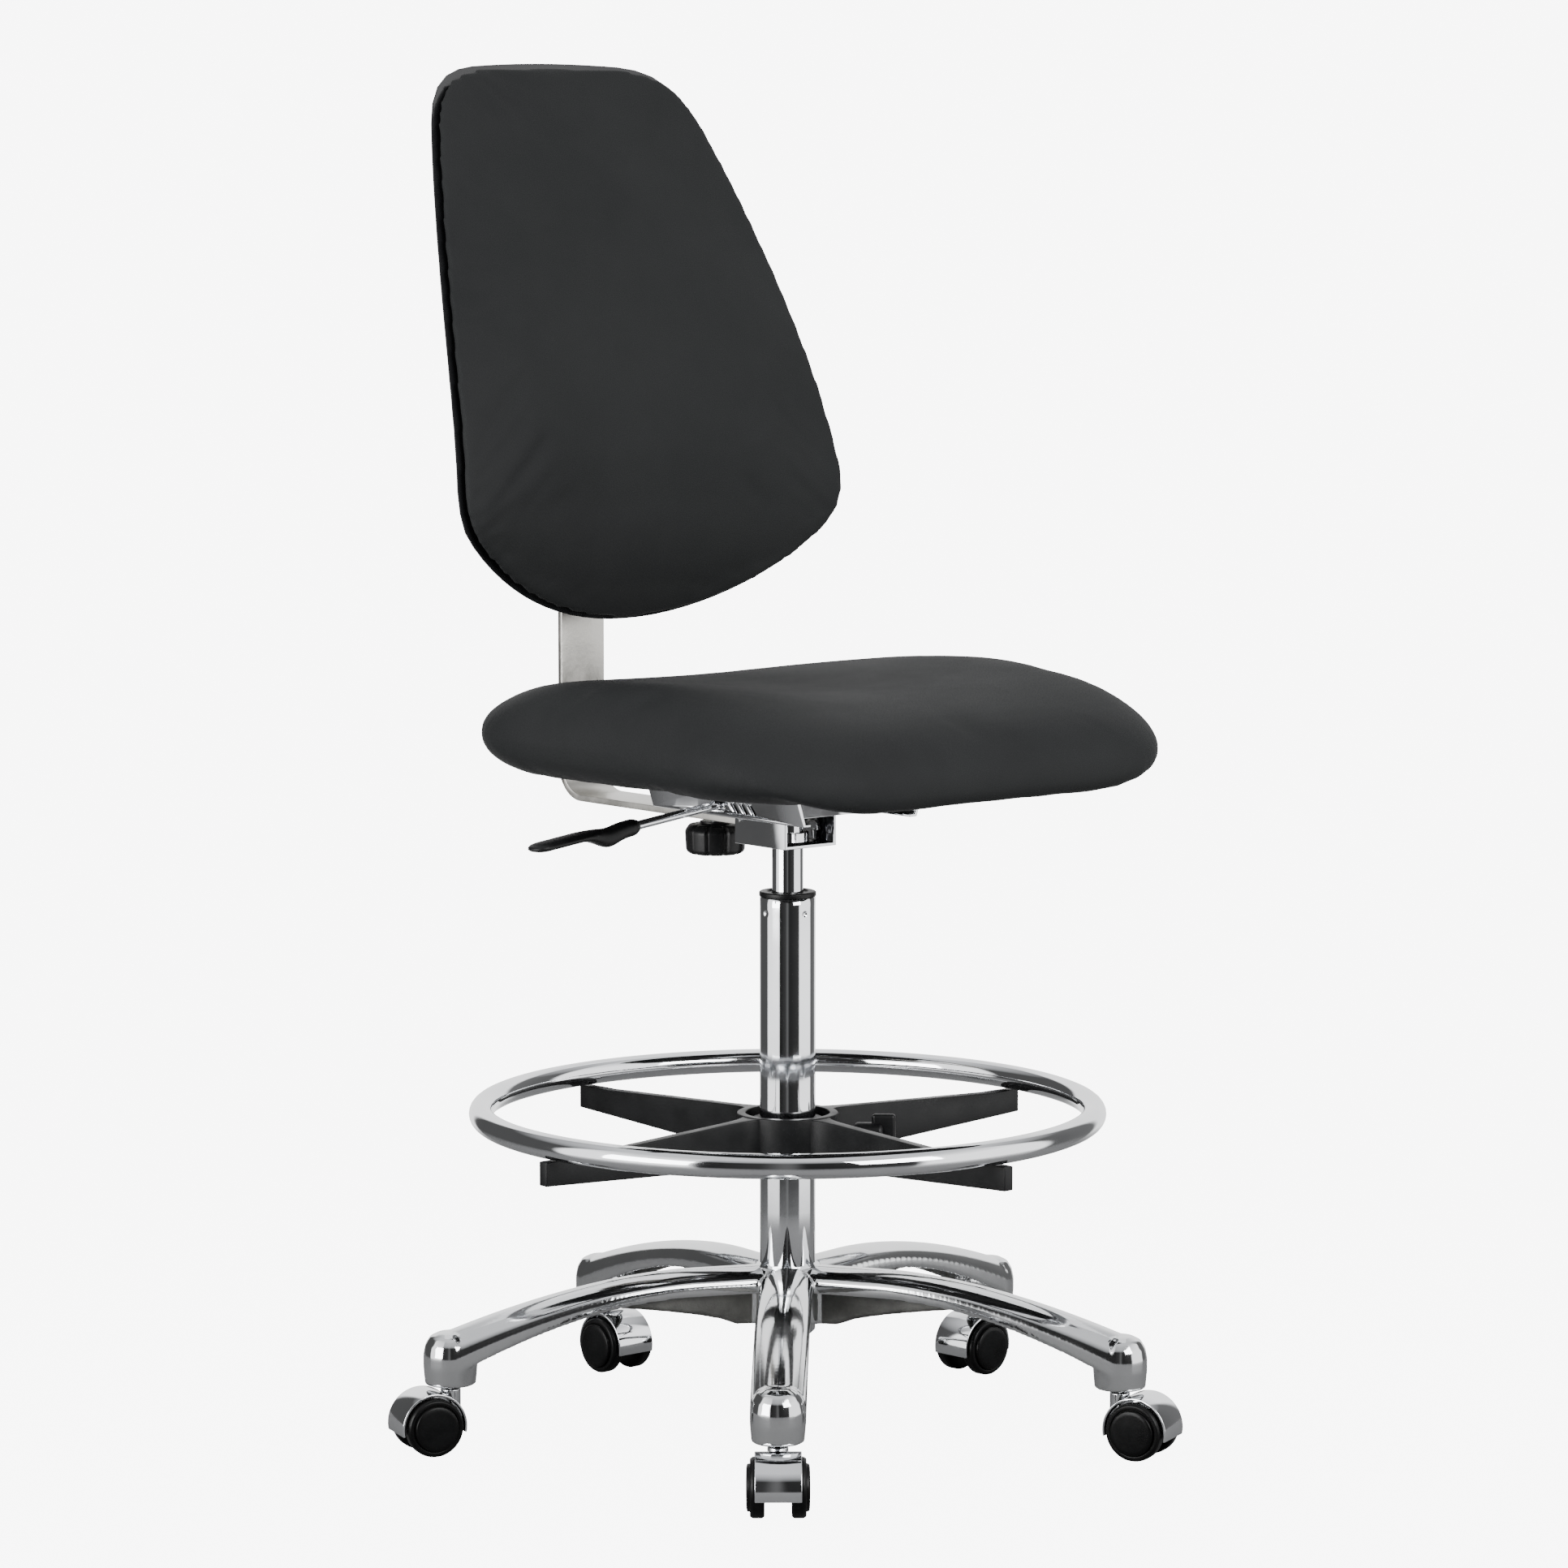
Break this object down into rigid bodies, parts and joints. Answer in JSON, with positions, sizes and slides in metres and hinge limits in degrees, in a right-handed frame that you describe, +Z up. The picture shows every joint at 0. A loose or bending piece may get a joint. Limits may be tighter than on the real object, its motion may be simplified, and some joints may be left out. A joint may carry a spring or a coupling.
{
  "type": "drafting chair",
  "caption": "Tall swivel drafting chair with a gas-lift column, foot ring, castered star base, and an upholstered seat and back.",
  "frame": {"origin": "centre of the bounding box at floor level", "axes": "+Z up, the sitter faces -Y, +X to the sitter's left"},
  "size_m": [0.67, 0.6924, 1.226],
  "materials": {
    "polished_aluminium": "mirror polished",
    "chrome": "bright plated",
    "satin_nickel": "satin",
    "zinc_steel": "zinc plated",
    "black_vinyl": "fine grained, semi matt",
    "board": "black cloth covered",
    "black_plastic": "fine textured",
    "wheel_nylon": "smooth",
    "grey_plastic": "moulded"
  },
  "bodies": {
    "base": {"star_base": "polished_aluminium", "column_tube": "chrome", "guide_bushing": "grey_plastic", "column_collar": "black_plastic", "thrust_bearing": "zinc_steel", "caster_1_stem": "zinc_steel", "caster_2_stem": "zinc_steel", "caster_3_stem": "zinc_steel", "caster_4_stem": "zinc_steel", "caster_5_stem": "zinc_steel"},
    "gas_rod": {"piston_rod": "zinc_steel", "piston": "grey_plastic", "rod_clip": "zinc_steel"},
    "seat": {"pressure_tube": "chrome", "lift_bracket": "chrome", "seat_tray": "chrome", "seat_board": "board", "seat_cushion": "black_vinyl", "tilt_pivot_pin": "zinc_steel", "seat_bolt_1": "zinc_steel", "seat_bolt_2": "zinc_steel", "seat_bolt_3": "zinc_steel", "seat_bolt_4": "zinc_steel"},
    "lever": {"height_lever": "zinc_steel", "lever_handle": "black_plastic"},
    "release_valve": {"release_pin": "zinc_steel"},
    "back_arm": {"back_bar": "satin_nickel"},
    "tilt_lock": {"tilt_knob": "black_plastic", "tilt_knob_stud": "zinc_steel"},
    "backrest": {"back_pad": "black_vinyl", "back_shell": "black_plastic", "back_guide": "black_plastic"},
    "ring_slider": {"ring_bush": "grey_plastic"},
    "footrest": {"ring_hub": "black_plastic", "foot_ring": "chrome"},
    "ring_lock": {"ring_lock_knob": "black_plastic", "ring_lock_stud": "zinc_steel"},
    "caster_1": {"caster_1_hood": "chrome", "caster_1_axle": "zinc_steel"},
    "caster_1_left_wheel": {"caster_1_wheel_left": "wheel_nylon"},
    "caster_1_right_wheel": {"caster_1_wheel_right": "wheel_nylon"},
    "caster_2": {"caster_2_hood": "chrome", "caster_2_axle": "zinc_steel"},
    "caster_2_left_wheel": {"caster_2_wheel_left": "wheel_nylon"},
    "caster_2_right_wheel": {"caster_2_wheel_right": "wheel_nylon"},
    "caster_3": {"caster_3_hood": "chrome", "caster_3_axle": "zinc_steel"},
    "caster_3_left_wheel": {"caster_3_wheel_left": "wheel_nylon"},
    "caster_3_right_wheel": {"caster_3_wheel_right": "wheel_nylon"},
    "caster_4": {"caster_4_hood": "chrome", "caster_4_axle": "zinc_steel"},
    "caster_4_left_wheel": {"caster_4_wheel_left": "wheel_nylon"},
    "caster_4_right_wheel": {"caster_4_wheel_right": "wheel_nylon"},
    "caster_5": {"caster_5_hood": "chrome", "caster_5_axle": "zinc_steel"},
    "caster_5_left_wheel": {"caster_5_wheel_left": "wheel_nylon"},
    "caster_5_right_wheel": {"caster_5_wheel_right": "wheel_nylon"}
  },
  "joints": [
    {"name": "seat_swivel", "type": "hinge", "parent": "base", "child": "gas_rod", "pos_m": [0.00698, -0.02134, 0.1], "axis": [0, 0, 1], "continuous": true},
    {"name": "seat_height", "type": "slide", "parent": "gas_rod", "child": "seat", "axis": [0, 0, 1], "range_m": [-0.03, 0.22]},
    {"name": "lever_lift", "type": "hinge", "parent": "seat", "child": "lever", "pos_m": [-0.02152, -0.02134, 0.5746], "axis": [0, 1, 0], "range_deg": [0, 6], "stiffness_Nm_per_rad": 4, "springref_deg": -5.73},
    {"name": "valve_press", "type": "slide", "parent": "seat", "child": "release_valve", "axis": [0, 0, -1], "range_m": [0, 0.003], "stiffness_N_per_m": 300, "springref_m": -0.001},
    {"name": "back_tilt", "type": "hinge", "parent": "seat", "child": "back_arm", "pos_m": [0.00698, 0.00466, 0.557], "axis": [1, 0, 0], "range_deg": [-12, 4]},
    {"name": "tilt_knob_turn", "type": "hinge", "parent": "back_arm", "child": "tilt_lock", "pos_m": [0.00698, 0.08066, 0.528], "axis": [0, 0, 1], "range_deg": [-180, 180]},
    {"name": "back_height", "type": "slide", "parent": "back_arm", "child": "backrest", "axis": [0, 0, 1], "range_m": [-0.03, 0.05]},
    {"name": "ring_height", "type": "slide", "parent": "base", "child": "ring_slider", "axis": [0, 0, 1], "range_m": [-0.08, 0.12]},
    {"name": "ring_turn", "type": "hinge", "parent": "ring_slider", "child": "footrest", "pos_m": [0.00698, -0.02134, 0.267], "axis": [0, 0, 1], "continuous": true},
    {"name": "ring_lock_turn", "type": "hinge", "parent": "footrest", "child": "ring_lock", "pos_m": [0.05818, -0.06908, 0.271], "axis": [0.7314, -0.682, 0], "range_deg": [-180, 180]},
    {"name": "caster_1_swivel", "type": "hinge", "parent": "base", "child": "caster_1", "pos_m": [-0.19975, -0.25502, 0.045], "axis": [0, 0, 1], "continuous": true},
    {"name": "caster_1_left_roll", "type": "hinge", "parent": "caster_1", "child": "caster_1_left_wheel", "pos_m": [-0.21375, -0.27199, 0.02568], "axis": [0.7716, -0.6361, 0], "continuous": true},
    {"name": "caster_1_right_roll", "type": "hinge", "parent": "caster_1", "child": "caster_1_right_wheel", "pos_m": [-0.21375, -0.27199, 0.02568], "axis": [0.7716, -0.6361, 0], "continuous": true},
    {"name": "caster_2_swivel", "type": "hinge", "parent": "base", "child": "caster_2", "pos_m": [0.16534, -0.29017, 0.045], "axis": [0, 0, 1], "continuous": true},
    {"name": "caster_2_left_roll", "type": "hinge", "parent": "caster_2", "child": "caster_2_left_wheel", "pos_m": [0.17393, -0.31042, 0.02568], "axis": [0.9205, 0.3907, 0], "continuous": true},
    {"name": "caster_2_right_roll", "type": "hinge", "parent": "caster_2", "child": "caster_2_right_wheel", "pos_m": [0.17393, -0.31042, 0.02568], "axis": [0.9205, 0.3907, 0], "continuous": true},
    {"name": "caster_3_swivel", "type": "hinge", "parent": "base", "child": "caster_3", "pos_m": [0.31159, 0.04619, 0.045], "axis": [0, 0, 1], "continuous": true},
    {"name": "caster_3_left_roll", "type": "hinge", "parent": "caster_3", "child": "caster_3_left_wheel", "pos_m": [0.28967, 0.04427, 0.02568], "axis": [0.0872, -0.9962, 0], "continuous": true},
    {"name": "caster_3_right_roll", "type": "hinge", "parent": "caster_3", "child": "caster_3_right_wheel", "pos_m": [0.28967, 0.04427, 0.02568], "axis": [0.0872, -0.9962, 0], "continuous": true},
    {"name": "caster_4_swivel", "type": "hinge", "parent": "base", "child": "caster_4", "pos_m": [0.03689, 0.28922, 0.045], "axis": [0, 0, 1], "continuous": true},
    {"name": "caster_4_left_roll", "type": "hinge", "parent": "caster_4", "child": "caster_4_left_wheel", "pos_m": [0.03727, 0.26722, 0.02568], "axis": [0.9998, 0.0175, 0], "continuous": true},
    {"name": "caster_4_right_roll", "type": "hinge", "parent": "caster_4", "child": "caster_4_right_wheel", "pos_m": [0.03727, 0.26722, 0.02568], "axis": [0.9998, 0.0175, 0], "continuous": true},
    {"name": "caster_5_swivel", "type": "hinge", "parent": "base", "child": "caster_5", "pos_m": [-0.27914, 0.10307, 0.045], "axis": [0, 0, 1], "continuous": true},
    {"name": "caster_5_left_roll", "type": "hinge", "parent": "caster_5", "child": "caster_5_left_wheel", "pos_m": [-0.30029, 0.10913, 0.02568], "axis": [-0.2756, -0.9613, 0], "continuous": true},
    {"name": "caster_5_right_roll", "type": "hinge", "parent": "caster_5", "child": "caster_5_right_wheel", "pos_m": [-0.30029, 0.10913, 0.02568], "axis": [-0.2756, -0.9613, 0], "continuous": true}
  ],
  "couplings": [
    {"joint": "valve_press", "follows": "lever_lift", "m_per_rad": 0.028}
  ]
}
